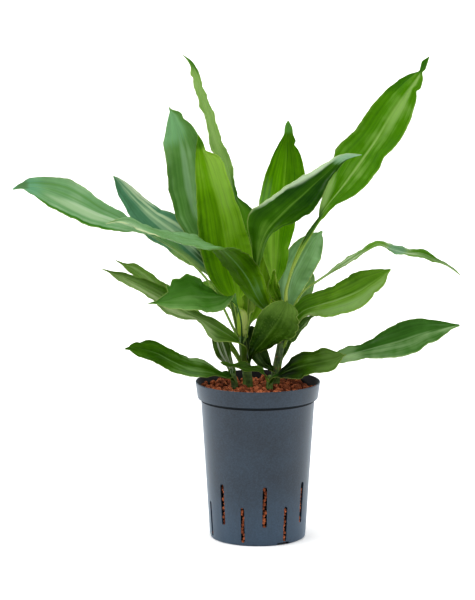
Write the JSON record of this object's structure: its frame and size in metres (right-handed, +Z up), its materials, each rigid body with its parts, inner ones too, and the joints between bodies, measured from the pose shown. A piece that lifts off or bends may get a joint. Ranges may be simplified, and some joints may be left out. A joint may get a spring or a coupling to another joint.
{
  "type": "potted dracaena",
  "caption": "Potted dracaena with short stems and broad, arching, wavy green leaves, in a slotted plastic culture pot filled with red fired clay granules.",
  "frame": {"origin": "centre of the pot's underside, on the surface that it stands on", "axes": "+Z up along the pot's axis, -Y towards the front as pictured, +X to the right in the picture"},
  "size_m": [0.5302, 0.327, 0.5775],
  "materials": {
    "pot_plastic": "satin blue-grey injection-moulded plastic, nearly black inside",
    "fired_clay": "matt, porous, red-brown fired clay granules",
    "stem_green": "yellow-green young stem with clasping leaf sheaths",
    "leaf_blue_green": "waxy blue-green leaf, half matt",
    "leaf_bright_green": "thin bright yellow-green leaf, translucent",
    "leaf_mid_green": "mid green leaf with a soft sheen",
    "leaf_dark_green": "dark green leaf, glossy"
  },
  "bodies": {
    "root": {"pot": "pot_plastic", "clay_granules": "fired_clay", "stem_left": "stem_green", "stem_right": "stem_green", "shoot_left": "stem_green", "shoot_front": "stem_green", "leaf_long_left": "leaf_blue_green", "leaf_back_left": "leaf_blue_green", "leaf_arched_left": "leaf_dark_green", "leaf_upright_left": "leaf_blue_green", "leaf_bright_centre": "leaf_bright_green", "leaf_tall_left": "leaf_mid_green", "leaf_upright_right": "leaf_bright_green", "leaf_dark_centre": "leaf_dark_green", "leaf_tall_right": "leaf_mid_green", "leaf_blue_right": "leaf_blue_green", "leaf_blue_right_low": "leaf_blue_green", "leaf_ribbon_right": "leaf_mid_green", "leaf_mid_right": "leaf_mid_green", "leaf_small_right": "leaf_dark_green", "leaf_dark_front": "leaf_dark_green", "leaf_front_left": "leaf_dark_green", "leaf_mid_left": "leaf_mid_green", "leaf_mid_left_back": "leaf_mid_green", "leaf_folded_left": "leaf_dark_green", "leaf_low_left": "leaf_dark_green", "leaf_small_front": "leaf_mid_green", "leaf_low_right": "leaf_dark_green", "leaf_low_far_right": "leaf_dark_green", "leaf_short_centre": "leaf_dark_green", "leaf_spear": "leaf_mid_green", "leaf_back_arched": "leaf_mid_green", "leaf_back_upright": "leaf_bright_green", "leaf_back_low_right": "leaf_dark_green", "leaf_back_low_left": "leaf_mid_green", "leaf_blue_back": "leaf_blue_green"}
  },
  "joints": []
}
